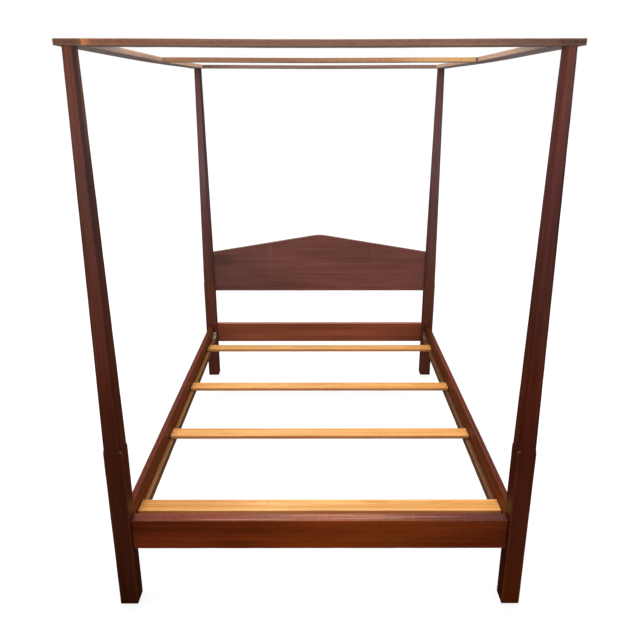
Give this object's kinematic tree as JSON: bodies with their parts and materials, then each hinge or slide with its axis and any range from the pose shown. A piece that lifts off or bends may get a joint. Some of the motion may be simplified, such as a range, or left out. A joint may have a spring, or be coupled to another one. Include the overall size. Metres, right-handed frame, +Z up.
{
  "type": "four poster canopy bed",
  "caption": "Low-headboard pencil-post bed with tapered octagonal posts, a slatted mattress deck and a flat lift-off canopy frame.",
  "frame": {"origin": "on the floor under the middle of the bed", "axes": "+Z up; +Y from the foot to the head, along the bed; +X to the right as seen from the foot"},
  "size_m": [1.4896, 2.07, 1.9503],
  "materials": {
    "post_wood": "dark red-brown stain under satin varnish, warmer at the foot and greyer with wear at the top",
    "rail_wood": "dark red-brown stain under satin varnish, rubbed lighter on the top edges",
    "headboard_wood": "dusty red-brown stain, satin, with long grain across the bed",
    "canopy_wood": "thin worn brown stain with bare orange wood at the joints, matt",
    "cleat_wood": "lightly stained strip, paler and drier on top, matt",
    "slat_wood": "unstained yellow-orange softwood with fine straight grain, matt",
    "dowel_wood": "plain pale hardwood dowel",
    "plated_steel": "dull zinc-plated sheet steel",
    "dark_screw": "dull brassy-brown steel wood screw with a cross recess"
  },
  "bodies": {
    "bedstead": {"foot_post_left": "post_wood", "foot_post_right": "post_wood", "head_post_left": "post_wood", "head_post_right": "post_wood", "foot_rail": "rail_wood", "head_rail": "rail_wood", "headboard": "headboard_wood", "side_rail_left": "rail_wood", "cleat_left": "cleat_wood", "side_rail_right": "rail_wood", "cleat_right": "cleat_wood", "slat_1": "slat_wood", "slat_2": "slat_wood", "slat_3": "slat_wood", "slat_4": "slat_wood", "post_plate_foot_left": "plated_steel", "rail_hook_foot_left": "plated_steel", "tester_pin_foot_left": "plated_steel", "post_plate_foot_right": "plated_steel", "rail_hook_foot_right": "plated_steel", "tester_pin_foot_right": "plated_steel", "post_plate_head_left": "plated_steel", "rail_hook_head_left": "plated_steel", "tester_pin_head_left": "plated_steel", "post_plate_head_right": "plated_steel", "rail_hook_head_right": "plated_steel", "tester_pin_head_right": "plated_steel", "corner_bracket_left": "plated_steel", "corner_bracket_right": "plated_steel", "bracket_screw_left_cleat": "dark_screw", "bracket_screw_left_post": "dark_screw", "slat_screw_1_left": "dark_screw", "slat_screw_2_left": "dark_screw", "slat_screw_3_left": "dark_screw", "slat_screw_4_left": "dark_screw", "cleat_screw_left_1": "dark_screw", "cleat_screw_left_2": "dark_screw", "cleat_screw_left_3": "dark_screw", "bracket_screw_right_cleat": "dark_screw", "bracket_screw_right_post": "dark_screw", "slat_screw_1_right": "dark_screw", "slat_screw_2_right": "dark_screw", "slat_screw_3_right": "dark_screw", "slat_screw_4_right": "dark_screw", "cleat_screw_right_1": "dark_screw", "cleat_screw_right_2": "dark_screw", "cleat_screw_right_3": "dark_screw"},
    "canopy": {"canopy_side_rail_left": "canopy_wood", "canopy_side_rail_right": "canopy_wood", "canopy_front_rail": "canopy_wood", "canopy_middle_rail": "canopy_wood", "canopy_rear_rail": "canopy_wood", "canopy_dowel_front_left": "dowel_wood", "canopy_dowel_front_right": "dowel_wood", "canopy_dowel_middle_left": "dowel_wood", "canopy_dowel_middle_right": "dowel_wood", "canopy_dowel_rear_left": "dowel_wood", "canopy_dowel_rear_right": "dowel_wood"}
  },
  "joints": [
    {"name": "canopy_lift", "type": "slide", "parent": "bedstead", "child": "canopy", "axis": [0, 0, 1], "range_m": [0, 0.06]}
  ]
}
